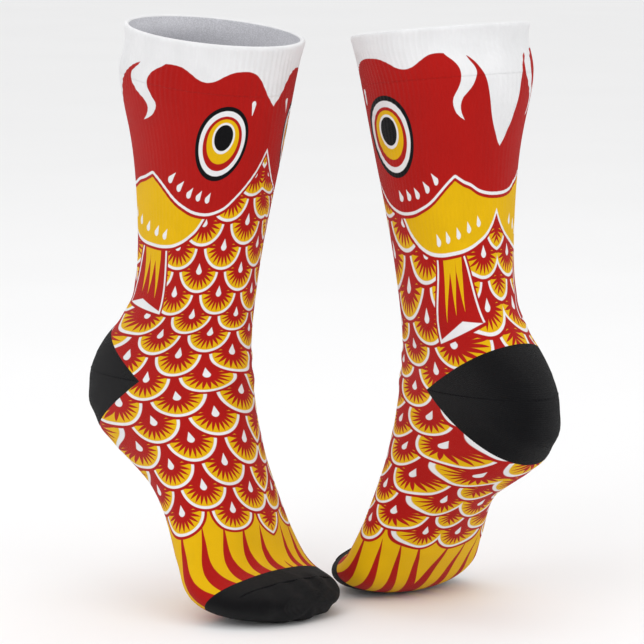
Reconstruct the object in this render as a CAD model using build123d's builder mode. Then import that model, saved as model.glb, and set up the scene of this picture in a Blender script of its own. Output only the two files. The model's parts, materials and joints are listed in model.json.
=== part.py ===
from build123d import *
import os
from math import cos, pi, radians, sin

# A pair of knitted crew socks in the shape they have when worn on tiptoe: the toes lie flat
# on the floor, the soles are steep and the legs stand almost upright. Each sock is built once,
# in its own frame, and then placed as the right and as the left sock of the pair.
#
# Sock frame, in millimetres: +X towards the toes, +Y to the wearer's left, +Z up, with the
# floor at Z = 0. The cross-sections are ellipses on planes that fan round the ankle and ball.

# ---- driving dimensions -------------------------------------------------------------------

# One row per cross-section, from above the rim of the cuff to the toe tip:
# (forward, height, lean, half depth, half width, inward)
# lean is how far the tube's run has turned from straight down towards straight forward, and
# inward moves a section towards the big toe. The rim is cut from the first stretch.
SECTIONS = [
    (2, 362, 2, 59.5, 54.5, 0),  # run-out above the rim
    (2, 326, 2, 56.5, 49, 0),  # cuff
    (0, 288, 2, 51, 42, 0),  # calf
    (-3, 246, 2, 44.5, 35.5, 0),  # lower leg
    (-8, 208, 2, 41, 31.5, 0),  # narrowest
    (-16, 177, 4, 45, 30, 0),  # above the ankle bones
    (-30, 153, 8, 58, 32, 0),  # top of the heel
    (-33, 131, 17, 63, 34, 0),  # heel
    (-20, 110, 27, 53, 34.5, 0),  # underside of the heel
    (-4, 88, 31, 37, 35.5, 0),  # arch
    (8, 66, 32, 28, 39, 0),  # instep
    (19, 43, 38, 24, 44, 0),  # behind the ball
    (31, 22.5, 56, 21, 48, 0),  # ball
    (46, 15.2, 76, 16, 47, 1),  # root of the toes
    (61, 13.2, 86, 14, 41, 3),  # toes
    (73, 12.2, 88, 11, 30, 5),  # toe ends
    (80, 11.5, 88, 5, 14, 6),  # toe tip
]
SECTION_POINTS = 16
RIM = (2, 344)
RIM_TILT = 7  # the rim stands higher at the back than at the shin

# Where the parts of the knit meet, as (forward, height) points, and the directions in which
# their edges leave those points, in degrees up from straight forward.
ANKLE = (-25, 136)  # corner of the heel gore, and the axis on which the ankle bends
SHIN_EDGE = 37
HEEL_TOP_EDGE = 146
HEEL_UNDER_EDGE = 215
INSTEP_EDGE = 350
BALL = (42, 14)  # on the edge of the toe cap, ahead of the axis on which the toes bend
TOE_CAP_EDGE = 49
BALL_EDGE = 187

# Knit thicknesses
LEG_WALL = 1.4
FOOT_WALL = 1.6
REINFORCED_WALL = 2.0
WELT_LAYER = 1.1
WELT_POCKET = 0.8
WELT_WALL = 2 * WELT_LAYER + WELT_POCKET

# Welt, elastic and stitching
WELT_DEPTH = 30
WELT_FOLD = 2
ELASTIC_COUNT = 6
ELASTIC_PITCH = 4
ELASTIC_HEIGHT = 0.8
YARN_CLEARANCE = 0.1
HEM_STITCH_HEIGHT = 1.0
TOE_SEAM_FORWARD = 67
TOE_SEAM_WIDTH = 1.4
TOE_SEAM_RISE = 0.8
TOE_SEAM_LOW_END = 13
GORE_SEAM_WIDTH = 1.0
GORE_SEAM_RISE = 0.6
SEAM_CLEARANCE = 0.02

# How the two socks stand: where the middle of each toe cap's flat underside rests on the floor,
# and the turn of each sock about +Z. The right sock's resting point is the origin of the pair.
TOE_REST_FORWARD = 56
RIGHT_REST = (0, 0)
RIGHT_TURN = -43
LEFT_REST = (65, 87)
LEFT_TURN = 127

REACH = 500  # longer than the whole sock, for the regions that pieces are cut from

# ---- shapes that the parts are cut from ----------------------------------------------------


def section_plane(forward, height, lean, inward):
    """Plane of one cross-section. Its x direction runs from the back of the sock to the front."""
    front = (cos(radians(lean)), 0, sin(radians(lean)))
    along = (-sin(radians(lean)), 0, cos(radians(lean)))
    return Plane(origin=(forward, inward, height), x_dir=front, z_dir=along)


def section(plane, depth, width):
    """One cross-section, an ellipse drawn from the front line round, so that all of them match."""
    turns = [2 * pi * share / SECTION_POINTS for share in range(SECTION_POINTS)]
    with BuildSketch(plane) as outline:
        with BuildLine():
            Spline(*[(depth * cos(turn), width * sin(turn)) for turn in turns], periodic=True)
        make_face()
    return outline.sketch


def skin(offset):
    """The sock as one closed body, grown by offset and longer than it at the rim."""
    planes = [section_plane(*row[:3], row[5]) for row in SECTIONS]
    planes[-1] = planes[-1].offset(-offset)
    with BuildPart() as body:
        loft([section(plane, row[3] + offset, row[4] + offset) for plane, row in zip(planes, SECTIONS)])
    return body.part


def trimmed(body, regions):
    """What several regions have in common with a body."""
    with BuildPart() as rest:
        add(body)
        for region in regions:
            add(region, mode=Mode.INTERSECT)
    return rest.part


def layer(outer, inner, regions):
    """The layer of the sock between two offsets of its skin, within some regions."""
    with BuildPart() as knit:
        add(trimmed(skin(outer), regions))
        add(trimmed(skin(inner), regions), mode=Mode.SUBTRACT)
    return knit.part


def sector(corner, first_edge, last_edge):
    """All that lies between two edges that leave a corner, seen from the side of the sock."""
    middle_edges = [first_edge + (last_edge - first_edge) * share / 4 for share in range(5)]
    with BuildPart() as wedge:
        with BuildSketch(Plane.XZ):
            with BuildLine():
                Polyline(
                    corner,
                    *[
                        (corner[0] + REACH * cos(radians(edge)), corner[1] + REACH * sin(radians(edge)))
                        for edge in middle_edges
                    ],
                    close=True,
                )
            make_face()
        extrude(amount=REACH, both=True)
    return wedge.part


def slab(plane, bottom, top):
    """All that lies between two heights above a plane."""
    with BuildPart() as block:
        with BuildSketch(plane.offset(bottom)):
            Rectangle(REACH, REACH)
        extrude(amount=top - bottom)
    return block.part


rim_plane = section_plane(*RIM, -RIM_TILT, 0)
hem_plane = rim_plane.offset(-WELT_DEPTH)
floor_plane = Plane.XY
above_hem = slab(hem_plane, 0, WELT_DEPTH)
below_hem = slab(hem_plane, -REACH, 0)
above_floor = slab(floor_plane, 0, REACH)

# ---- cuff ------------------------------------------------------------------------------------

# The welt is knitted as one band and folded over at the rim, which leaves a pocket between its
# two layers. The pocket is open at the hem, where the stitching closes it.
pocket_outside = -WELT_LAYER
pocket_inside = -(WELT_LAYER + WELT_POCKET)
below_fold = slab(hem_plane, -WELT_FOLD, WELT_DEPTH - WELT_FOLD)
with BuildPart() as cuff_welt:
    add(layer(0, -WELT_WALL, [above_hem]))
    add(layer(pocket_outside, pocket_inside, [below_fold]), mode=Mode.SUBTRACT)

yarn_outside = pocket_outside - YARN_CLEARANCE
yarn_inside = pocket_inside + YARN_CLEARANCE

# Rings of covered elastic yarn that lie in the pocket
with BuildPart() as ring_heights:
    for ring in range(ELASTIC_COUNT):
        middle = (ring + 1) * ELASTIC_PITCH
        add(slab(hem_plane, middle - ELASTIC_HEIGHT / 2, middle + ELASTIC_HEIGHT / 2))
with BuildPart() as cuff_elastic:
    add(layer(yarn_outside, yarn_inside, [ring_heights.part]))

# The round of thread that closes the pocket at the hem
stitch_height = slab(hem_plane, YARN_CLEARANCE, YARN_CLEARANCE + HEM_STITCH_HEIGHT)
with BuildPart() as welt_stitch:
    add(layer(yarn_outside, yarn_inside, [stitch_height]))

# ---- leg -------------------------------------------------------------------------------------

with BuildPart() as leg_tube:
    add(layer(0, -LEG_WALL, [below_hem, sector(ANKLE, SHIN_EDGE, HEEL_TOP_EDGE)]))

# The knit across the front of the ankle, which gathers when the ankle bends
with BuildPart() as ankle_panel:
    add(layer(0, -LEG_WALL, [sector(ANKLE, INSTEP_EDGE - 360, SHIN_EDGE)]))

# ---- heel ------------------------------------------------------------------------------------

heel_sector = sector(ANKLE, HEEL_TOP_EDGE, HEEL_UNDER_EDGE)
with BuildPart() as heel_pocket:
    add(layer(0, -REINFORCED_WALL, [heel_sector]))

# The line of joined stitches where the two halves of the turned heel meet, straight back
# from the corner of the gore on both sides
gore_plane = Plane(origin=(ANKLE[0], 0, ANKLE[1]))
gore_line = slab(gore_plane, -GORE_SEAM_WIDTH / 2, GORE_SEAM_WIDTH / 2)
with BuildPart() as heel_gore_seam:
    add(layer(GORE_SEAM_RISE, SEAM_CLEARANCE, [gore_line, heel_sector]))

# ---- foot ------------------------------------------------------------------------------------

below_ankle = sector(ANKLE, HEEL_UNDER_EDGE, INSTEP_EDGE)
behind_toes = sector(BALL, TOE_CAP_EDGE, BALL_EDGE)
with BuildPart() as foot_tube:
    add(layer(0, -FOOT_WALL, [below_ankle, behind_toes]))

# The knit under the ball of the foot, which gathers when the sole is laid flat
under_ball = sector(BALL, BALL_EDGE, TOE_CAP_EDGE + 180)
with BuildPart() as ball_panel:
    add(layer(0, -FOOT_WALL, [under_ball, above_floor]))

# ---- toes ------------------------------------------------------------------------------------

round_toes = sector(BALL, TOE_CAP_EDGE - 180, TOE_CAP_EDGE)
with BuildPart() as toe_cap:
    add(layer(0, -REINFORCED_WALL, [round_toes, above_floor]))

# The ridge of linked stitches that closes the toe cap, over the top of the toes
seam_line = slab(Plane.YZ.offset(TOE_SEAM_FORWARD), -TOE_SEAM_WIDTH / 2, TOE_SEAM_WIDTH / 2)
above_seam_ends = slab(floor_plane, TOE_SEAM_LOW_END, REACH)
with BuildPart() as toe_seam:
    add(layer(TOE_SEAM_RISE, SEAM_CLEARANCE, [seam_line, above_seam_ends]))

# ---- the pair ----------------------------------------------------------------------------------

PIECES = {
    "cuff_welt": cuff_welt,
    "cuff_elastic": cuff_elastic,
    "welt_stitch": welt_stitch,
    "leg_tube": leg_tube,
    "ankle_panel": ankle_panel,
    "heel_pocket": heel_pocket,
    "heel_gore_seam": heel_gore_seam,
    "foot_tube": foot_tube,
    "ball_panel": ball_panel,
    "toe_cap": toe_cap,
    "toe_seam": toe_seam,
}

rest_point = Location((-TOE_REST_FORWARD, 0, 0))
right_place = Location((*RIGHT_REST, 0), (0, 0, RIGHT_TURN)) * rest_point
left_place = Location((*LEFT_REST, 0), (0, 0, LEFT_TURN)) * rest_point

os.makedirs("parts", exist_ok=True)
for name, piece in PIECES.items():
    right_piece = right_place * piece.part
    right_piece.label = f"right_{name}"
    export_step(right_piece, f"parts/right_{name}.step")
    left_piece = left_place * mirror(piece.part, about=Plane.XZ)
    left_piece.label = f"left_{name}"
    export_step(left_piece, f"parts/left_{name}.step")
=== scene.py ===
import json
from math import cos, pi, radians, sin

import bmesh
import bpy
import numpy as np
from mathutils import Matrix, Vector
from mathutils.bvhtree import BVHTree


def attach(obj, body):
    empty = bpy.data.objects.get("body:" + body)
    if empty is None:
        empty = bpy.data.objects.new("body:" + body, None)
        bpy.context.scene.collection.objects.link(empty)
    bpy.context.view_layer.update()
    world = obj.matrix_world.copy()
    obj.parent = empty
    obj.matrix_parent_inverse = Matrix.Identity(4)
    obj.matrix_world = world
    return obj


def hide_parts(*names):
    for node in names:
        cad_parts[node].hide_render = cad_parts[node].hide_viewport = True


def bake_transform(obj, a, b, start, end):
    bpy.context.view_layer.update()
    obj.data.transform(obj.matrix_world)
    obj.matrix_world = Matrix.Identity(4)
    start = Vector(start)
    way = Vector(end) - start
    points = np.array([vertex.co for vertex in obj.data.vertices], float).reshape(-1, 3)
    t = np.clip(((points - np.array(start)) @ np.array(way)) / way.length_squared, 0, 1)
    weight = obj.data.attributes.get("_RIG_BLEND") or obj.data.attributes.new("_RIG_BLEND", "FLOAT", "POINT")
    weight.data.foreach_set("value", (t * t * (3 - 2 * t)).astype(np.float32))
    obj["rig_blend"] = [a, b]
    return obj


# A pair of knitted crew socks with a carp print, black heels and black toes. Each visible sheet
# of knit is laid on the CAD's skin: rays find the skin round a centre line, and a fine grid of
# stitches is built through the points they find. The print is drawn as distances to shapes, and
# the materials turn those distances into yarn colours.

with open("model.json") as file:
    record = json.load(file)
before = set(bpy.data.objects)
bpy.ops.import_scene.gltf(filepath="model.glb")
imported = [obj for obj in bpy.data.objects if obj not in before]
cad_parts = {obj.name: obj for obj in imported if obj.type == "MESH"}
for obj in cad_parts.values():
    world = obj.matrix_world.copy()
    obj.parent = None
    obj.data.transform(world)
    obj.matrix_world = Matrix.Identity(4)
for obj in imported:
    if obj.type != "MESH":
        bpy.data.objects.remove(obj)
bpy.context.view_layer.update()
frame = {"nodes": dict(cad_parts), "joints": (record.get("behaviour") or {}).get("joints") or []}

MM = 0.001
UP = np.array([0.0, 0.0, 1.0])

# ---- sizes, in millimetres in a sock's own frame: forward, inward, up ------------------------------

# The centre line from rim to toe tip: (forward, height, lean of the run from straight down)
CENTRE_LINE = np.array([
    (2, 344, -7),  # rim
    (2, 314, -7),  # hem of the welt
    (0, 288, -2),
    (-3, 246, 2),
    (-8, 208, 2),  # narrowest
    (-16, 177, 4),
    (-30, 153, 8),  # top of the heel
    (-33, 131, 17),
    (-20, 110, 27),
    (-4, 88, 31),  # arch
    (8, 66, 32),
    (19, 43, 38),
    (31, 22.5, 56),  # ball
    (46, 15.2, 76),
    (61, 13.2, 86),
    (73, 12.2, 88),
    (80, 11.5, 88),  # toe tip
], float)
INWARD = (0, 31, 80, 6)  # the toes' centre line moves inward: from, at forward, to, by

ANKLE = (-25, 136)
HEEL_TOP_EDGE = 146
HEEL_UNDER_EDGE = 215
BALL = (42, 14)
TOE_CAP_EDGE = 49
LEG_BEND = ((-10, 200), (-22, 108))  # the leg's knit hands over to the foot between these
TOE_BEND = ((12, 42), (46, 10))  # and the foot's to the toes

RIM_LENGTH = 0.0
HEM_LENGTH = 30.0
MIDFOOT_LENGTH = 296.0
TOE_LENGTH = 393.0

COLUMNS = 360  # round the sock, four to each rib
RIBS = COLUMNS // 4
ROW_STEP = 2.0
ARCH_EVENING = 15  # waves shorter than about three times this are taken out of the arch
ARCH_START = (232, 262)  # lengths over which the evening begins and ends
ARCH_END = (322, 340)
RIB_HEIGHT = 0.2
RAY_COLUMNS = 96
RAY_ROW_STEP = 3.0
RAY_REACH = 80.0
HARMONICS = 14

KNIT_THICKNESS = 1.3
WELT_THICKNESS = 3.0
TOE_ROUNDING = 4.0

# ---- the two socks in the frame ---------------------------------------------------------------------

joints = {joint["name"]: joint for joint in frame["joints"]}


class Sock:
    """Where one sock's own frame stands in the row's frame."""

    def __init__(self, side, inward):
        self.side = side
        ankle = joints[f"{side}_ankle_bend"]
        self.lateral = np.array(ankle["axis"])
        self.forward = np.cross(self.lateral, UP)
        self.inward = inward
        pivot = np.array(ankle["pos_m"])
        self.origin = pivot - self.place_direction(ANKLE[0], 0, ANKLE[1])

    def place_direction(self, forward, inward, up):
        """A vector given in the sock's millimetres, in the row's metres."""
        parts = (np.multiply.outer(forward, self.forward), np.multiply.outer(inward * self.inward, self.lateral),
                 np.multiply.outer(up, UP))
        return sum(parts) * MM

    def place(self, forward, inward, up):
        return self.origin + self.place_direction(forward, inward, up)

    def local(self, points):
        """Row-frame points in the sock's millimetres, as columns forward, inward, up."""
        offset = (points - self.origin) / MM
        return np.stack([offset @ self.forward, offset @ self.lateral * self.inward, offset @ UP], -1)

    def node(self, part):
        return f"{self.side}_{part}"


SOCKS = (Sock("right", 1), Sock("left", -1))

# ---- the skin: what the CAD says the sock's outside is ------------------------------------------------

SKIN_PARTS = ("cuff_welt", "leg_tube", "ankle_panel", "heel_pocket", "foot_tube", "ball_panel", "toe_cap")


def skin_tree(sock):
    vertices, faces = [], []
    for part in SKIN_PARTS:
        mesh = frame["nodes"][sock.node(part)].data
        start = len(vertices)
        vertices += [vertex.co.copy() for vertex in mesh.vertices]
        faces += [[start + index for index in face.vertices] for face in mesh.polygons]
    return BVHTree.FromPolygons(vertices, faces)


def stations(lengths):
    """Centre and front direction of the rings at these lengths along the centre line."""
    steps = np.hypot(np.diff(CENTRE_LINE[:, 0]), np.diff(CENTRE_LINE[:, 1]))
    along = np.concatenate([[0], np.cumsum(steps)])
    forward, height, lean = (np.interp(lengths, along, CENTRE_LINE[:, column]) for column in range(3))
    _, start, end, shift = INWARD
    inward = shift * np.clip((forward - start) / (end - start), 0, 1) * (lengths > MIDFOOT_LENGTH)
    centre = np.stack([forward, inward, height], -1)
    lean = np.radians(lean)
    front = np.stack([np.cos(lean), 0 * lean, np.sin(lean)], -1)
    return centre, front


def ring_points(centre, front, turn, radius):
    """Points on rings: turn 0 is the back line, pi the front line, inward side first."""
    side = np.array([0.0, 1.0, 0.0])
    outward = -front[..., None, :] * np.cos(turn)[..., None] + side * np.sin(turn)[..., None]
    return centre[..., None, :] + outward * radius[..., None]


def measured_radii(sock, lengths):
    """How far out the skin is round each ring, from rays cast inwards."""
    tree = skin_tree(sock)
    turns = np.linspace(0, 2 * pi, RAY_COLUMNS, endpoint=False)
    centre, front = stations(lengths)
    starts = ring_points(centre, front, np.tile(turns, (len(lengths), 1)),
                         np.full((len(lengths), RAY_COLUMNS), RAY_REACH))
    radii = np.full(starts.shape[:2], np.nan)
    for row in range(len(lengths)):
        middle = Vector(sock.place(*centre[row]))
        for column in range(RAY_COLUMNS):
            start = Vector(sock.place(*starts[row, column]))
            hit = tree.ray_cast(start, middle - start, RAY_REACH * MM)
            if hit[3] is not None:
                radii[row, column] = RAY_REACH - hit[3] / MM
    for column in range(RAY_COLUMNS):
        known = ~np.isnan(radii[:, column])
        radii[:, column] = np.interp(lengths, lengths[known], radii[known, column])
    return radii


def fourier(radii):
    """Each ring's radii as a short Fourier series, which also takes out the facets of the CAD mesh."""
    return np.fft.rfft(radii, axis=1)[:, :HARMONICS] / RAY_COLUMNS


def radius_at(series, turns):
    """Radius of each ring at its own turns."""
    radius = np.repeat(series[:, :1].real, turns.shape[1], 1)
    for order in range(1, HARMONICS):
        wave = series[:, order:order + 1] * np.exp(1j * order * turns)
        radius = radius + 2 * wave.real
    return radius


def smooth_step(value, start, end):
    share = np.clip((value - start) / (end - start), 0, 1)
    return share * share * (3 - 2 * share)


def evened_arch(lengths, series):
    """Cloth is pulled straight between the heel and the ball of the foot, so waves there are evened out."""
    nearness = np.exp(-0.5 * ((lengths[:, None] - lengths[None, :]) / ARCH_EVENING) ** 2)
    evened = nearness @ series / nearness.sum(axis=1, keepdims=True)
    share = (smooth_step(lengths, *ARCH_START) * (1 - smooth_step(lengths, *ARCH_END)))[:, None]
    return series + (evened - series) * share


class Skin:
    """A smooth surface through the CAD's skin, addressed by length along the sock and by column."""

    def __init__(self, sock):
        self.sock = sock
        self.lengths = np.arange(2.0, TOE_LENGTH, RAY_ROW_STEP)
        self.series = evened_arch(self.lengths, fourier(measured_radii(sock, self.lengths)))

    def rows(self, lengths):
        """Series of rings at any lengths, smoothly between the measured ones."""
        place = np.clip((lengths - self.lengths[0]) / RAY_ROW_STEP, 0, len(self.lengths) - 1.001)
        row = place.astype(int)
        part = (place - row)[:, None]
        picks = [self.series[np.clip(row + shift, 0, len(self.lengths) - 1)] for shift in (-1, 0, 1, 2)]
        before, first, second, after = picks
        slope_first, slope_second = (second - before) / 2, (after - first) / 2
        return ((2 * part**3 - 3 * part**2 + 1) * first + (part**3 - 2 * part**2 + part) * slope_first
                + (-2 * part**3 + 3 * part**2) * second + (part**3 - part**2) * slope_second)

    def grid(self, lengths):
        """Points of evenly spread columns at these lengths, and half the sock's girth at each."""
        series = self.rows(lengths)
        centre, front = stations(lengths)
        fine = np.linspace(0, 2 * pi, 721)
        fine_points = ring_points(centre, front, np.tile(fine, (len(lengths), 1)),
                                  radius_at(series, np.tile(fine, (len(lengths), 1))))
        steps = np.linalg.norm(np.diff(fine_points, axis=1), axis=2)
        travelled = np.concatenate([np.zeros((len(lengths), 1)), np.cumsum(steps, 1)], 1)
        half = COLUMNS // 2
        turns = np.empty((len(lengths), COLUMNS))
        girth = np.empty(len(lengths))
        for row, walk in enumerate(travelled):
            front_line, whole = walk[360], walk[720]
            first = np.linspace(0, front_line, half, endpoint=False)
            second = np.linspace(front_line, whole, half, endpoint=False)
            turns[row] = np.interp(np.concatenate([first, second]), walk, fine)
            girth[row] = whole / 2
        return ring_points(centre, front, turns, radius_at(series, turns)), girth


def outward_normals(points):
    along = np.gradient(points, axis=0)
    around = np.roll(points, -1, axis=1) - np.roll(points, 1, axis=1)
    normal = np.cross(around, along)
    return normal / np.linalg.norm(normal, axis=2, keepdims=True)


column_index = np.arange(COLUMNS)
half_columns = COLUMNS // 2
BACK_TO_FRONT = np.where(column_index <= half_columns, column_index, COLUMNS - column_index) / half_columns
RIB_WAVE = np.cos(2 * pi * column_index * RIBS / COLUMNS)


def knit_relief(points, lengths):
    """Height of ribs, gathers and toes on the outside of the knit."""
    length = lengths[:, None]
    rib = RIB_HEIGHT * (1 - 0.6 * smooth_step(length, 30, 50)) * (1 - smooth_step(length, 100, 180))
    relief = rib * RIB_WAVE
    share = BACK_TO_FRONT[None, :]
    front_of_ankle = smooth_step(share, 0.55, 0.95) * smooth_step(length, 185, 215) * (1 - smooth_step(length, 235, 265))
    relief = relief + 0.45 * front_of_ankle * np.sin(length / 3.4 + 2.2 * share)
    back_of_leg = (1 - smooth_step(share, 0.1, 0.4)) * smooth_step(length, 140, 160) * (1 - smooth_step(length, 175, 190))
    relief = relief + 0.35 * back_of_leg * np.sin(length / 2.9)
    toes = smooth_step(points[..., 0], 60, 76) * (1 - smooth_step(np.abs(points[..., 1]), 30, 42))
    relief = relief + 0.8 * toes * np.cos(2 * pi * (points[..., 1] - 4) / 15)
    heel = np.exp(-((length - 222) / 16) ** 2) * (1 - smooth_step(share, 0.10, 0.34))
    return relief + 0.5 * heel * np.sin(length / 2.3 + 9 * share)


# ---- the print --------------------------------------------------------------------------------------------

# The print is flat: x runs from the back seam to the front seam and y down from the rim, both in
# millimetres. Outlines that run across it are curves through these points.
PRINT_WIDTH = 165.0
HEAD_TOP = np.array([(0, 66), (4, 63), (8, 58.5), (14, 51.5), (17.5, 45.5), (20, 40), (22.5, 34), (26, 28.5),
                     (32, 22), (38, 18.2), (46, 16.5), (55, 16), (65, 15.3), (72, 16), (80, 19), (87, 22),
                     (94, 23.2), (101, 22), (108, 18.7), (115, 16.2), (123, 15.2), (132, 15.3), (140, 17.5),
                     (147, 22), (152, 26.5), (158, 31.5), (165, 37)], float)
GILL_LINE = np.array([(0, 91), (12, 90.6), (24, 88.8), (32, 86), (39.5, 84.3), (45, 82.4), (48.5, 81.3), (52.5, 83.2),
                      (57, 86), (63.5, 90.5), (70, 95), (76, 98.4), (83, 101.3), (90, 103.7), (98, 105.2),
                      (107, 105.6), (116, 104.2), (123, 102), (134, 95.3), (145, 87), (154, 79), (165, 66)], float)
COVER_EDGE = np.array([(0, 100), (5, 106.5), (11, 112), (25, 119), (38, 122.8), (52, 124.6), (65, 125.4), (79, 124),
                       (91, 119.3), (98.5, 114), (104, 107), (110, 97)], float)
CREST_GAP = np.array([(13, 48.5, 13), (17, 48.5, 9), (20, 45.2, 7.4), (24, 41.4, 7.3), (28, 40.2, 7.4), (32, 41.7, 6.7),
                      (36, 45.3, 5.9), (40, 50.3, 4.4), (43, 51.3, 3.6), (46, 50.2, 2.8), (49, 47.4, 2.0),
                      (51.6, 42.6, 0), (54, 38, -3)], float)  # y, x of its middle, half width

EYE = (113.0, 61.5)
EYE_SIZE = (24.3, 24.3)
EYE_LEAN = -0.17
EYE_RINGS = (("black", 1.0, 0), ("white", 0.875, 0), ("red", 0.73, 0.2), ("yellow", 0.60, -1.0),
             ("white", 0.42, -3.0), ("black", 0.35, -3.2))
GILL_DROPS = ((68.2, 84.5, 1.1), (77, 89.5, 1.0), (87, 93.5, 0.8), (96.3, 95.2, 0.65), (105.3, 96.5, 0.55))
COVER_DROPS = ((23.5, 107.5, 0.3), (34.4, 111, 0.35), (45.5, 114.5, 0.4), (56.6, 117, 0.45), (66.4, 118.8, 0.5))
LONE_DROP = (140.5, 37.5)
FIN_FLAMES = (((59.7, 118, 3.9), (59.6, 134, 3.2), (59, 158.5, 0.1)), ((53.6, 118, 3.7), (53.4, 134, 3.2), (49.5, 156, 0.1)),
              ((47, 118, 3.9), (46.6, 134, 3.2), (40.8, 155, 0.1)))

SCALE_PITCH = 47.9
SCALE_FIRST = 105.6
SCALE_ROW_START = 81.8
SCALE_ROW_STEP = 14.6
SCALE_LAST_ROW = 15
SCALE_SIZE = (20.9, 14.7)
SCALE_BACK_SHIFT = 15.7  # the columns stand this much closer to the back seam
SCALE_RAYS = radians(17.5)
TAIL_START = 299.0
TAIL_PITCH = 19.6
EDGE = 0.22  # how soft the yarn makes an edge of the print

YARN = {"white": (0.85, 0.85, 0.86), "red": (0.43, 0.0075, 0.0055), "yellow": (0.80, 0.47, 0.0015),
        "black": (0.0030, 0.0030, 0.0042), "reverse": (0.60, 0.60, 0.635), "elastic": (0.70, 0.69, 0.66)}


def smooth_through(x, xs, ys):
    """A curve through points, as steep at each as the line between its neighbours."""
    slopes = np.gradient(ys, xs)
    index = np.clip(np.searchsorted(xs, x) - 1, 0, len(xs) - 2)
    width = xs[index + 1] - xs[index]
    part = np.clip((x - xs[index]) / width, 0, 1)
    return ((2 * part**3 - 3 * part**2 + 1) * ys[index] + (part**3 - 2 * part**2 + part) * width * slopes[index]
            + (3 * part**2 - 2 * part**3) * ys[index + 1] + (part**3 - part**2) * width * slopes[index + 1])


def above_curve(x, y, curve):
    """Distance to all that lies above a curve across the print: negative above it."""
    dense = np.linspace(curve[0, 0], curve[-1, 0], 600)
    heights = smooth_through(dense, curve[:, 0], curve[:, 1])
    slope = np.interp(x, dense, np.gradient(heights, dense))
    return (y - np.interp(x, dense, heights)) / np.sqrt(1 + slope**2)


def print_place(side, length):
    """Where every column of the knit lies on the flat print. The print isn't pulled over the two feet
    in the same way: on the right sock it is pushed to the back, its seam turns inwards below the head
    and it hangs lower at the heel. On the left sock it is pushed forward, rises to the shin, and its seam
    turns outwards under the foot."""
    pull = np.maximum(0.46, 0.9 - 0.0035 * length)
    if side == "right":
        seam = 1 + 0.12 * smooth_step(length, 85, 125)
        walk = np.where(column_index > half_columns, BACK_TO_FRONT, 2 - BACK_TO_FRONT)
        walk = np.where(column_index == 0, 0, walk)
        share = np.where(walk <= seam, walk, (2 - walk) * seam / (2 - seam))
        foot = smooth_step(length, 200, 240)
        across = share * (1 - 0.07 * foot) - (pull - 0.36 * foot) * share * (1 - share)
        down = length + smooth_step(length, 185, 235) * (18 - 34 * share)
        fan = 0.07
    else:
        seam = 0.10 * smooth_step(length, 225, 265)
        walk = np.where(column_index > half_columns, BACK_TO_FRONT, -BACK_TO_FRONT) - seam
        share = np.where(walk > 0, walk / (1 - seam), -walk / (1 + seam))
        across = share + pull * (1 - smooth_step(length, 130, 190)) * share * (1 - share)
        down = length - 33 * smooth_step(length, 100, 190) * share + smooth_step(length, 285, 325) * (5 + 5 * share)
        fan = 0.11
    across = across + fan * smooth_step(length, 295, 355) * (1 - share)
    return across * PRINT_WIDTH, down


def print_measures(side, length):
    """Places on the print, and distances there to the outlines that cross it."""
    x, y = print_place(side, length)
    middle = smooth_through(y, CREST_GAP[:, 0], CREST_GAP[:, 1])
    half = smooth_through(y, CREST_GAP[:, 0], CREST_GAP[:, 2])
    return {"print_x": x, "print_y": y, "head_top": above_curve(x, y, HEAD_TOP),
            "gill_line": above_curve(x, y, GILL_LINE), "cover_edge": above_curve(x, y, COVER_EDGE),
            "gap_offset": x - middle, "gap_half": half}


# ---- materials ------------------------------------------------------------------------------------------


class Value:
    """A number inside a material, so that shapes and stitches can be written as formulas."""

    def __init__(self, nodes, socket):
        self.nodes = nodes
        self.socket = socket

    def math(self, operation, other=0.0, swap=False):
        other = other.socket if isinstance(other, Value) else other
        first, second = (other, self.socket) if swap else (self.socket, other)
        node = self.nodes.add("ShaderNodeMath", operation=operation)
        for slot, source in enumerate((first, second)):
            if isinstance(source, (int, float)):
                node.inputs[slot].default_value = source
            else:
                self.nodes.link(source, node.inputs[slot])
        return Value(self.nodes, node.outputs[0])

    def __add__(self, other):
        return self.math("ADD", other)

    def __sub__(self, other):
        return self.math("SUBTRACT", other)

    def __rsub__(self, other):
        return self.math("SUBTRACT", other, swap=True)

    def __mul__(self, other):
        return self.math("MULTIPLY", other)

    def __abs__(self):
        return self.math("ABSOLUTE")

    def ramp(self, start, end, low=0.0, high=1.0):
        node = self.nodes.add("ShaderNodeMapRange", interpolation_type="SMOOTHSTEP")
        self.nodes.link(self.socket, node.inputs["Value"])
        for name, number in (("From Min", start), ("From Max", end), ("To Min", low), ("To Max", high)):
            node.inputs[name].default_value = number
        return Value(self.nodes, node.outputs["Result"])


def greatest(value, *others):
    for other in others:
        value = value.math("MAXIMUM", other)
    return value


def between(value, low, high):
    return value.math("MAXIMUM", low).math("MINIMUM", high)


def hypotenuse(x, y):
    return (x * x + y * y).math("SQRT")


def folded(value):
    """Distance to the nearest whole number, from 0 to 0.5."""
    return abs((value + 0.5).math("FRACT") - 0.5)


def stroke(x, y, points):
    """Distance to a tapering line through points that are (x, y, half width)."""
    nearest = None
    for (x0, y0, r0), (x1, y1, r1) in zip(points, points[1:]):
        dx, dy = x1 - x0, y1 - y0
        share = between(((x - x0) * dx + (y - y0) * dy) * (1 / (dx * dx + dy * dy)), 0, 1)
        distance = hypotenuse(x - x0 - share * dx, y - y0 - share * dy) - (share * (r1 - r0) + r0)
        nearest = distance if nearest is None else nearest.math("MINIMUM", distance)
    return nearest


class Cloth:
    """Yarn colours laid over one another where distances are negative."""

    def __init__(self, nodes, ground):
        self.nodes = nodes
        self.colour = YARN[ground]

    def paint(self, name, distance, softness=EDGE):
        self.colour = self.nodes.mix(distance.ramp(softness, -softness), self.colour, YARN[name])


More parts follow.
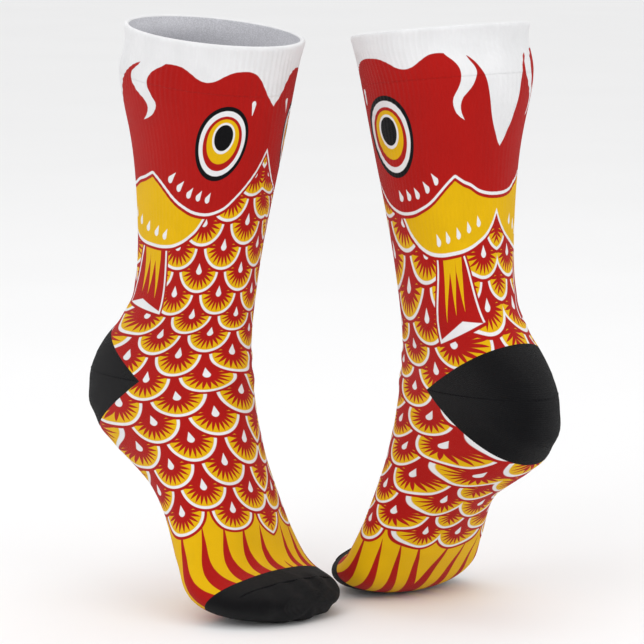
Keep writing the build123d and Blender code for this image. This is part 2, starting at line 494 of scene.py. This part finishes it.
def paint_scales(cloth, x, y, row):
    """One row of scales: red gap, white rim, yellow fan with red rays, red middle and a white drop."""
    width, height = SCALE_SIZE
    shift = (row * 0.5).math("FRACT")
    column = (x - SCALE_FIRST) * (1 / SCALE_PITCH) - shift + 0.5
    u = (column.math("FRACT") - 0.5) * (SCALE_PITCH / width)
    down = y - SCALE_ROW_START - row * SCALE_ROW_STEP
    v = down * (1 / height)
    reach = hypotenuse(u, v)
    absent = (row - SCALE_LAST_ROW - 0.5) * 10
    upper = (-0.25 - v) * height
    cloth.paint("red", greatest((reach - 1.11) * height, absent))
    cloth.paint("white", greatest((reach - 0.99) * height, upper, absent))
    cloth.paint("yellow", greatest((reach - 0.875) * height, upper, absent))
    ray = folded(u.math("ARCTAN2", v) * (1 / SCALE_RAYS)) * 2
    spread = between((0.84 - reach) * (1 / 0.40), 0, 1.2)
    cloth.paint("red", greatest((ray - spread) * 2.2 * reach, (reach - 0.87) * height, absent), 0.12)
    drop = stroke(u * (width * 0.78), down, ((0, -4.2, 0.1), (0, 0.5, 2.3)))
    cloth.paint("white", greatest(drop, absent))


def paint_tail(cloth, x, y):
    """Yellow leaves that taper towards the toes, with red wedges between them."""
    cloth.paint("yellow", TAIL_START - y)
    across = folded(x * (1 / TAIL_PITCH)) * TAIL_PITCH
    wedge = between((y - 309) * (1 / 60), 0, 1) * 8.4
    cloth.paint("red", greatest(across - wedge, 309 - y))


def paint_fin(cloth, x, y):
    """The side fin under the gill cover: a white outline, a red field and three yellow flames."""
    back = (39.5 - (y - 126) * 0.46 - x) * 0.91
    front = x - 70
    bottom = (y - 162 - (x - 23) * 0.145) * 0.99
    field = greatest(back, front, bottom, 110 - y)
    cloth.paint("red", field - 1.8)
    cloth.paint("white", field)
    fold = (y - 159.5 - abs(x - 44) * 0.225 - (x - 44) * 0.075) * 0.96
    cloth.paint("red", greatest(back + 1.8, front + 1.8, fold, 110 - y))
    for flame in FIN_FLAMES:
        cloth.paint("yellow", stroke(x, y, flame))


def leaning_drop(x, y, place, size=1.0):
    """A drop that is round below and pointed above, with its point leaning forward."""
    across, down, lean = place
    tip = (across + 3.4 * lean * size, down - 3.3 * size, 0.1)
    base = (across - 0.9 * lean * size, down + 0.9 * size, 2.3 * size)
    return stroke(x, y, (tip, base))


def paint_cover(cloth, x, y, cover):
    """The yellow gill cover, with its row of drops."""
    edge = greatest(cover, x - 109)
    cloth.paint("red", edge - 3.5)
    cloth.paint("white", edge - 1.9)
    cloth.paint("yellow", edge)
    for place in COVER_DROPS:
        cloth.paint("white", leaning_drop(x, y, place))


def paint_head(cloth, x, y, top, gill, gap_offset, gap_half):
    cloth.paint("red", gill - 3.5)
    cloth.paint("white", gill - 1.7)
    cloth.paint("red", gill)
    cloth.paint("white", top)
    cloth.paint("white", greatest((abs(gap_offset) - gap_half) * 0.85, y - 53))
    for place in GILL_DROPS:
        cloth.paint("white", leaning_drop(x, y, place))
    lone = (LONE_DROP[0], LONE_DROP[1])
    cloth.paint("white", stroke(x, y, ((lone[0], lone[1] - 2.4, 2.3), (lone[0] - 1, lone[1] + 5.5, 0.2))))


def paint_eye(cloth, x, y):
    leaned = x - (y - EYE[1]) * EYE_LEAN
    for colour, share, lift in EYE_RINGS:
        rx, ry = EYE_SIZE[0] * share, EYE_SIZE[1] * share
        reach = hypotenuse((leaned - EYE[0]) * (1 / rx), (y - EYE[1] - lift) * (1 / ry))
        cloth.paint(colour, (reach - 1) * min(rx, ry))


def carp_print(nodes):
    """The colour of the whole print, from the measures that the knit carries."""
    x, y = nodes.attribute("print_x"), nodes.attribute("print_y")
    cloth = Cloth(nodes, "red")
    paint_tail(cloth, x, y)
    row = ((y - SCALE_ROW_START) * (1 / SCALE_ROW_STEP)).math("FLOOR")
    closer_at_back = x + x.ramp(24, 60, SCALE_BACK_SHIFT, 0.0)
    for step in (1, 0, -1):
        paint_scales(cloth, closer_at_back, y, row + step)
    paint_fin(cloth, x, y)
    paint_cover(cloth, x, y, nodes.attribute("cover_edge"))
    paint_head(cloth, x, y, nodes.attribute("head_top"), nodes.attribute("gill_line"),
               nodes.attribute("gap_offset"), nodes.attribute("gap_half"))
    paint_eye(cloth, x, y)
    return cloth.colour


class Nodes:
    """Short names for the nodes of one material."""

    def __init__(self, name):
        self.material = bpy.data.materials.new(name)
        self.material.use_nodes = True
        self.tree = self.material.node_tree
        self.shader = self.tree.nodes["Principled BSDF"]

    def add(self, kind, **settings):
        node = self.tree.nodes.new(kind)
        for key, value in settings.items():
            setattr(node, key, value)
        return node

    def link(self, source, target):
        self.tree.links.new(source, target)

    def attribute(self, name):
        return Value(self, self.add("ShaderNodeAttribute", attribute_name=name).outputs["Fac"])

    def mix(self, share, first, second):
        node = self.add("ShaderNodeMix", data_type="RGBA")
        self.link(share.socket, node.inputs["Factor"])
        for slot, value in ((6, first), (7, second)):
            if isinstance(value, tuple):
                node.inputs[slot].default_value = (*value, 1)
            else:
                self.link(value, node.inputs[slot])
        return node.outputs[2]

    def noise(self, scale, detail=2.0):
        node = self.add("ShaderNodeTexNoise")
        place = self.add("ShaderNodeTexCoord")
        self.link(place.outputs["Object"], node.inputs["Vector"])
        node.inputs["Scale"].default_value = scale
        node.inputs["Detail"].default_value = detail
        return Value(self, node.outputs["Fac"])

    def stitches(self, wale=1.05, course=0.85):
        """Height of plain knit: columns of V-shaped stitches, from the sheet's own measures."""
        fold = folded(self.attribute("around_mm") * (1 / wale))
        column = (fold * (2 * pi)).math("SINE")
        slant = self.attribute("along_mm") * (1 / course) + fold * 1.5
        leg = abs((slant * pi).math("SINE"))
        return column * (leg * 0.6 + 0.4)

    def finish(self, colour, height, roughness=0.85, sheen=0.06, relief=0.00035, strength=0.55):
        bump = self.add("ShaderNodeBump")
        bump.inputs["Strength"].default_value = strength
        bump.inputs["Distance"].default_value = relief
        self.link(height.socket, bump.inputs["Height"])
        self.link(bump.outputs["Normal"], self.shader.inputs["Normal"])
        self.link(colour, self.shader.inputs["Base Color"])
        rough = self.noise(900).ramp(0.3, 0.7, roughness - 0.06, roughness + 0.06)
        self.link(rough.socket, self.shader.inputs["Roughness"])
        self.shader.inputs["Specular IOR Level"].default_value = 0.12
        self.shader.inputs["Sheen Weight"].default_value = sheen
        self.shader.inputs["Sheen Roughness"].default_value = 0.45
        return self.material

    def shaded(self, colour, height, depth=0.10, patch=0.05):
        """Colour with painted shade between the stitches, which also varies a little over the cloth."""
        # painted shade: the colour is darkened where the stitch height is low, between the stitches; depth sets how
        # dark this painted shade is
        painted_gap_shade = height.ramp(0.0, 0.8, 1 - depth, 1.0)
        patches = self.noise(60).ramp(0.3, 0.7, 1 - patch, 1.0)
        scale = self.add("ShaderNodeVectorMath", operation="SCALE")
        self.link(colour, scale.inputs[0])
        self.link((painted_gap_shade * patches).socket, scale.inputs["Scale"])
        return scale.outputs[0]


def printed_knit():
    nodes = Nodes("printed_knit")
    height = nodes.stitches()
    return nodes.finish(nodes.shaded(carp_print(nodes), height), height)


def plain_knit(name, yarn, depth=0.12, sheen=0.06, strength=0.55):
    nodes = Nodes(name)
    height = nodes.stitches()
    light = tuple(min(1, part * 1.25) for part in yarn)
    colour = nodes.mix(nodes.noise(1400).ramp(0.35, 0.7), yarn, light)
    return nodes.finish(nodes.shaded(colour, height, depth), height, sheen=sheen, strength=strength)


def thread(name, yarn, pitch=0.0012):
    """Twisted thread: fine slanted turns that follow the object's own place, with painted shade in the grooves between
    the turns.
    """
    nodes = Nodes(name)
    wave = nodes.add("ShaderNodeTexWave", bands_direction="DIAGONAL")
    place = nodes.add("ShaderNodeTexCoord")
    nodes.link(place.outputs["Object"], wave.inputs["Vector"])
    wave.inputs["Scale"].default_value = 1 / pitch / 6
    height = Value(nodes, wave.outputs["Fac"])
    # painted shade: the thread's colour is darkened where the wave is low, in the grooves between its turns
    colour = nodes.mix(height, tuple(part * 0.75 for part in yarn), yarn)
    return nodes.finish(colour, height, roughness=0.8, relief=0.0002)


PRINTED = printed_knit()
REVERSE = plain_knit("reverse_of_knit", YARN["reverse"])
# the black knit gets a deeper painted shade between its stitches (depth)
BLACK = plain_knit("black_knit", YARN["black"], depth=0.55, sheen=0.06, strength=1.0)
BLACK_THREAD = thread("black_thread", YARN["black"])
WHITE_THREAD = thread("white_thread", YARN["white"])
ELASTIC_YARN = thread("elastic_yarn", YARN["elastic"])

# ---- building the knit --------------------------------------------------------------------------------------

def make_object(name, vertices, faces, layers, materials):
    mesh = bpy.data.meshes.new(name)
    mesh.from_pydata([tuple(vertex) for vertex in vertices], [], faces)
    for layer, values in layers.items():
        attribute = mesh.attributes.new(layer, "FLOAT", "POINT")
        attribute.data.foreach_set("value", np.asarray(values, np.float32))
    for material in materials:
        mesh.materials.append(material)
    mesh.polygons.foreach_set("use_smooth", [True] * len(mesh.polygons))
    mesh.update()
    piece = bpy.data.objects.new(name, mesh)
    bpy.context.scene.collection.objects.link(piece)
    return piece


def grid_faces(rows, closed=False):
    """Quads of a grid that is closed round each row, and across the rows too if closed."""
    faces = []
    for row in range(rows if closed else rows - 1):
        here, below = row * COLUMNS, (row + 1) % rows * COLUMNS
        faces += [(here + column, below + column, below + (column + 1) % COLUMNS, here + (column + 1) % COLUMNS)
                  for column in range(COLUMNS)]
    return faces


def sheet_layers(side, lengths, girth):
    """What the materials read at each stitch: its place on the sheet, and on the print."""
    length = np.tile(lengths[:, None], (1, COLUMNS))
    layers = {"around_mm": BACK_TO_FRONT * girth[:, None], "along_mm": length}
    layers.update(print_measures(side, length))
    return {name: values.ravel() for name, values in layers.items()}


def facing_out(points, piece):
    """Turns the faces of a closed-round sheet so that they look away from the centre line."""
    mesh = piece.data
    middle = points.mean(axis=1)
    face = mesh.polygons[len(mesh.polygons) // 2]
    row = face.vertices[0] // COLUMNS % len(middle)
    if (np.array(face.center) - middle[row]) @ np.array(face.normal) < 0:
        mesh.flip_normals()


def cuff(sock, skin):
    """The welt: ribbed outside, rolled rim, and the inside of the fold."""
    outer_lengths = np.arange(HEM_LENGTH, 1.5, -0.95)
    roll = np.linspace(0, pi, 9)[1:-1]
    inner_lengths = np.arange(2.0, HEM_LENGTH + 0.1, 2.0)
    half = WELT_THICKNESS / 2
    lengths = np.concatenate([outer_lengths, 1.6 - half * np.sin(roll), inner_lengths])
    depth = np.concatenate([0 * outer_lengths, half * (1 - np.cos(roll)), WELT_THICKNESS + 0 * inner_lengths])
    surface_lengths = np.maximum(lengths, 0.0)
    points, girth = skin.grid(surface_lengths)
    base, _ = skin.grid(np.linspace(0, HEM_LENGTH, len(lengths)))
    normals = outward_normals_towards(points)
    fade = np.clip(1 - depth / half, 0.35, 1)[:, None]
    rib = RIB_HEIGHT * RIB_WAVE[None, :] * fade
    rib = np.where(depth[:, None] > half, -0.6 * rib, rib)
    placed = points + normals * (rib - depth[:, None])[..., None]
    world = sock.place(placed[..., 0], placed[..., 1], placed[..., 2])
    layers = sheet_layers(sock.side, surface_lengths, girth)
    piece = make_object(sock.node("cuff"), world.reshape(-1, 3), grid_faces(len(lengths), closed=True), layers,
                        [PRINTED, REVERSE])
    facing_out(world, piece)
    first_inside = len(outer_lengths) + len(roll)
    inner = [row_of >= first_inside - 1 for row_of in np.repeat(np.arange(len(lengths)), COLUMNS)]
    piece.data.polygons.foreach_set("material_index", np.array(inner, np.int32))
    return piece


def outward_normals_towards(points):
    """Level outward directions for rows that fold back on themselves."""
    middle = points.mean(axis=1, keepdims=True)
    around = np.roll(points, -1, axis=1) - np.roll(points, 1, axis=1)
    run = np.cross(np.roll(points, -COLUMNS // 4, axis=1) - middle, points - middle).mean(axis=1, keepdims=True)
    normal = np.cross(around, run)
    normal /= np.linalg.norm(normal, axis=2, keepdims=True)
    facing = np.sign(np.sum(normal * (points - middle), axis=2, keepdims=True))
    return normal * facing


def whole_sheet(sock, skin):
    """The knit from the hem to the closed toe as one sheet, with the measures and print it carries."""
    lengths = np.arange(HEM_LENGTH, TOE_LENGTH + 0.01, ROW_STEP)
    points, girth = skin.grid(lengths)
    normals = outward_normals(points)
    middle = points.mean(axis=1, keepdims=True)
    if np.mean(np.sum(normals * (points - middle), axis=2)) < 0:
        normals = -normals
    placed = points + normals * knit_relief(points, lengths)[..., None]
    placed[..., 2] = np.maximum(placed[..., 2], 0.15)
    tip_centre = placed[-1].mean(axis=0)
    rounding = np.linspace(0, pi / 2, 7)[1:-1]
    caps = [tip_centre + (placed[-1] - tip_centre) * cos(turn) + np.array([TOE_ROUNDING * sin(turn), 0, 0])
            for turn in rounding]
    placed = np.concatenate([placed, np.array(caps)])
    lengths = np.concatenate([lengths, lengths[-1] + TOE_ROUNDING * rounding])
    girth = np.concatenate([girth, girth[-1] * np.cos(rounding)])
    layers = sheet_layers(sock.side, lengths, girth)
    end = tip_centre + np.array([TOE_ROUNDING, 0, 0])
    vertices = np.concatenate([placed.reshape(-1, 3), end[None, :]])
    last = (len(lengths) - 1) * COLUMNS
    tip = len(vertices) - 1
    faces = grid_faces(len(lengths)) + [(last + c, tip, last + (c + 1) % COLUMNS) for c in range(COLUMNS)]
    for name in layers:
        layers[name] = np.append(layers[name], layers[name][-1])
    world = sock.place(vertices[:, 0], vertices[:, 1], vertices[:, 2])
    return world, faces, layers


def cut_along(sheet, sock, corner, edge, keep):
    """Cuts the faces that keep picks along a plane through a corner of the knit."""
    normal = sock.place_direction(-sin(radians(edge)), 0, cos(radians(edge)))
    faces = [face for face in sheet.faces if keep(sock.local(np.array(face.calc_center_median())))]
    edges = {edge_ for face in faces for edge_ in face.edges}
    vertices = {vertex for face in faces for vertex in face.verts}
    bmesh.ops.bisect_plane(sheet, geom=faces + list(edges) + list(vertices), dist=1e-7,
                           plane_co=Vector(sock.place(corner[0], 0, corner[1])), plane_no=Vector(normal))


def in_heel(place):
    angle = np.degrees(np.arctan2(place[..., 2] - ANKLE[1], place[..., 0] - ANKLE[0])) % 360
    return (angle > HEEL_TOP_EDGE) & (angle < HEEL_UNDER_EDGE)


def in_toes(place):
    edge = radians(TOE_CAP_EDGE)
    return sin(edge) * (place[..., 0] - BALL[0]) - cos(edge) * (place[..., 2] - BALL[1]) > 0


def split_sheet(sock, skin):
    """The leg, heel, foot and toe pieces, cut from one sheet so that they meet exactly."""
    world, faces, layers = whole_sheet(sock, skin)
    whole = make_object(sock.node("whole"), world, faces, layers, [])
    sheet = bmesh.new()
    sheet.from_mesh(whole.data)
    near_heel = lambda place: place[0] < ANKLE[0] + 4 and 60 < place[2] < 220
    near_toes = lambda place: place[2] < 45
    cut_along(sheet, sock, ANKLE, HEEL_TOP_EDGE, near_heel)
    cut_along(sheet, sock, ANKLE, HEEL_UNDER_EDGE, near_heel)
    cut_along(sheet, sock, BALL, TOE_CAP_EDGE, near_toes)
    bmesh.ops.recalc_face_normals(sheet, faces=sheet.faces)
    along = sheet.verts.layers.float["along_mm"]
    centres = sock.local(np.array([tuple(face.calc_center_median()) for face in sheet.faces]))
    length = np.array([sum(vertex[along] for vertex in face.verts) / len(face.verts) for face in sheet.faces])
    heel = in_heel(centres) & (length > 150) & (length < MIDFOOT_LENGTH)
    toes = in_toes(centres) & (length > 330)
    foot = (length > MIDFOOT_LENGTH) & ~toes & ~heel
    regions = {"leg_print": ~(heel | toes | foot), "heel": heel, "foot_print": foot, "toes": toes}
    pieces = {}
    for name, members in regions.items():
        part = sheet.copy()
        part.faces.ensure_lookup_table()
        unwanted = [part.faces[index] for index in np.flatnonzero(~members)]
        bmesh.ops.delete(part, geom=unwanted, context="FACES")
        for edge in part.edges:
            edge.smooth = not edge.is_boundary
        mesh = bpy.data.meshes.new(sock.node(name))
        part.to_mesh(mesh)
        part.free()
        mesh.polygons.foreach_set("use_smooth", [True] * len(mesh.polygons))
        pieces[name] = bpy.data.objects.new(sock.node(name), mesh)
        bpy.context.scene.collection.objects.link(pieces[name])
    sheet.free()
    bpy.data.objects.remove(whole)
    return pieces


def thicken(piece, outside, inside):
    """Gives a sheet its knit thickness, with the reverse of the knit on the inside."""
    piece.data.materials.append(outside)
    piece.data.materials.append(inside)
    solid = piece.modifiers.new("knit_thickness", "SOLIDIFY")
    solid.thickness = KNIT_THICKNESS * MM
    solid.offset = -1
    solid.material_offset = 1


def ridge(name, path, radius, material, bead=2.2):
    """A rope of linked stitches along a path: a tube whose girth swells at every stitch."""
    path = np.asarray(path)
    steps = np.linalg.norm(np.diff(path, axis=0), axis=1)
    travelled = np.concatenate([[0], np.cumsum(steps)]) / MM
    count = max(int(travelled[-1] / 0.35), 8)
    places = np.linspace(0, travelled[-1], count)
    line = np.stack([np.interp(places, travelled, path[:, axis]) for axis in range(3)], -1)
    run = np.gradient(line, axis=0)
    run /= np.linalg.norm(run, axis=1, keepdims=True)
    across = np.cross(run, UP)
    across /= np.linalg.norm(across, axis=1, keepdims=True)
    rise = np.cross(across, run)
    taper = np.clip(np.minimum(places, places[-1] - places) / 1.5, 0.25, 1)
    swell = radius * taper * (1 + 0.22 * np.cos(2 * pi * places / bead))
    turns = np.linspace(0, 2 * pi, 10, endpoint=False)
    vertices = np.concatenate([line + (across * cos(turn) + rise * sin(turn)) * swell[:, None] * MM for turn in turns])
    faces = []
    for side in range(10):
        here, there = side * count, (side + 1) % 10 * count
        faces += [(here + i, there + i, there + i + 1, here + i + 1) for i in range(count - 1)]
    faces.append(tuple(side * count for side in range(10)))
    faces.append(tuple(side * count + count - 1 for side in reversed(range(10))))
    return make_object(name, vertices, faces, {}, [material])


def gore_path(sock, tree, sunk):
    """Round the back of the heel at the height of the gore's corner."""
    points = []
    for turn in np.linspace(radians(93), radians(267), 90):
        outward = sock.place_direction(cos(turn), sin(turn), 0)
        middle = sock.place(ANKLE[0], 0, ANKLE[1])
        start = Vector(middle + outward * RAY_REACH)
        hit = tree.ray_cast(start, Vector(-outward), RAY_REACH * MM)
        points.append(np.array(hit[0]) - outward * sunk)
    return points


def toe_path(sock, tree, sunk):
    """Over the toes from side to side, further back towards the little toe."""
    points = []
    for inward in np.linspace(-36, 33, 70):
        forward = 70 - 0.0035 * (inward - 8) ** 2 - 0.10 * max(0, -inward)
        start = Vector(sock.place(forward, inward, 90))
        hit = tree.ray_cast(start, Vector((0, 0, -1)), 85 * MM)
        if hit[0] is not None:
            points.append(np.array(hit[0]) - UP * sunk * MM)
    return points


def bend(sock, piece, upper, lower, points):
    start, end = (tuple(sock.place(forward, 0, height)) for forward, height in points)
    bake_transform(piece, sock.node(upper), sock.node(lower), start=start, end=end)


def build_sock(sock):
    skin = Skin(sock)
    tree = skin_tree(sock)
    band = cuff(sock, skin)
    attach(band, sock.node("leg"))
    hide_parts(sock.node("cuff_welt"))

    pieces = split_sheet(sock, skin)
    plan = (("leg_print", PRINTED, "printed_knit", ("leg_tube", "ankle_panel")),
            ("heel", BLACK, "black_knit", ("heel_pocket",)),
            ("foot_print", PRINTED, "printed_knit", ("foot_tube", "ball_panel")),
            ("toes", BLACK, "black_knit", ("toe_cap",)))
    for name, outside, slot, replaced in plan:
        piece = pieces[name]
        thicken(piece, outside, REVERSE if outside is PRINTED else BLACK)
        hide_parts(*(sock.node(part) for part in replaced))
    for name in ("leg_print", "heel"):
        bend(sock, pieces[name], "leg", "foot", LEG_BEND)
    for name in ("foot_print", "toes"):
        bend(sock, pieces[name], "foot", "toes", TOE_BEND)

    gore = ridge(sock.node("heel_gore_ridge"), gore_path(sock, tree, 0.15), 0.42, BLACK_THREAD)
    bend(sock, gore, "leg", "foot", LEG_BEND)
    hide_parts(sock.node("heel_gore_seam"))
    seam = ridge(sock.node("toe_seam_ridge"), toe_path(sock, tree, 0.1), 0.6, BLACK_THREAD)
    bend(sock, seam, "foot", "toes", TOE_BEND)
    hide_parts(sock.node("toe_seam"))

    for part, material in (("cuff_elastic", ELASTIC_YARN), ("welt_stitch", WHITE_THREAD)):
        node = frame["nodes"][sock.node(part)]
        node.data.materials.clear()
        node.data.materials.append(material)


for sock in SOCKS:
    build_sock(sock)

# ---- studio ----------------------------------------------------------------------------------------------------

CAMERA_DISTANCE = 2.062
CAMERA_HEIGHT = 0.490
CAMERA_ACROSS = 0.026
CAMERA_PITCH = 8.65
CAMERA_LENS = 200.5


def studio_floor():
    """A pale floor that reaches far past the picture on all sides."""
    reach = 14.0
    corners = [(-reach, -reach, 0), (reach, -reach, 0), (reach, reach, 0), (-reach, reach, 0)]
    nodes = Nodes("studio_paper")
    tone = nodes.mix(nodes.noise(3).ramp(0.3, 0.7), (0.875, 0.875, 0.878), (0.885, 0.885, 0.888))
    nodes.link(tone, nodes.shader.inputs["Base Color"])
    nodes.shader.inputs["Roughness"].default_value = 0.95
    nodes.shader.inputs["Specular IOR Level"].default_value = 0.1
    floor = make_object("studio_floor", corners, [(0, 1, 2, 3)], {}, [nodes.material])


def area_light(name, place, size, energy):
    light = bpy.data.lights.new(name, "AREA")
    light.shape = "SQUARE"
    light.size = size
    light.energy = energy
    lamp = bpy.data.objects.new(name, light)
    lamp.location = place
    lamp.rotation_euler = (Vector((0.03, 0.04, 0.15)) - Vector(place)).to_track_quat("-Z", "Y").to_euler()
    bpy.context.scene.collection.objects.link(lamp)


def studio():
    studio_floor()
    area_light("key", (-0.9, -1.5, 1.7), 1.2, 10)
    area_light("fill", (1.5, -1.3, 1.1), 1.6, 5)
    area_light("top", (0.0, 0.2, 2.2), 1.8, 7)
    world = bpy.data.worlds.new("studio_air")
    world.use_nodes = True
    world.node_tree.nodes["Background"].inputs["Color"].default_value = (1, 1, 1, 1)
    world.node_tree.nodes["Background"].inputs["Strength"].default_value = 0.95
    bpy.context.scene.world = world
    bpy.context.scene.view_settings.view_transform = "Standard"
    lens = bpy.data.cameras.new("camera")
    lens.lens = CAMERA_LENS
    lens.sensor_width = 36
    lens.clip_end = 20
    camera = bpy.data.objects.new("camera", lens)
    camera.location = (CAMERA_ACROSS, -CAMERA_DISTANCE, CAMERA_HEIGHT)
    camera.rotation_euler = (radians(90 - CAMERA_PITCH), 0, 0)
    bpy.context.scene.collection.objects.link(camera)
    bpy.context.scene.camera = camera


studio()
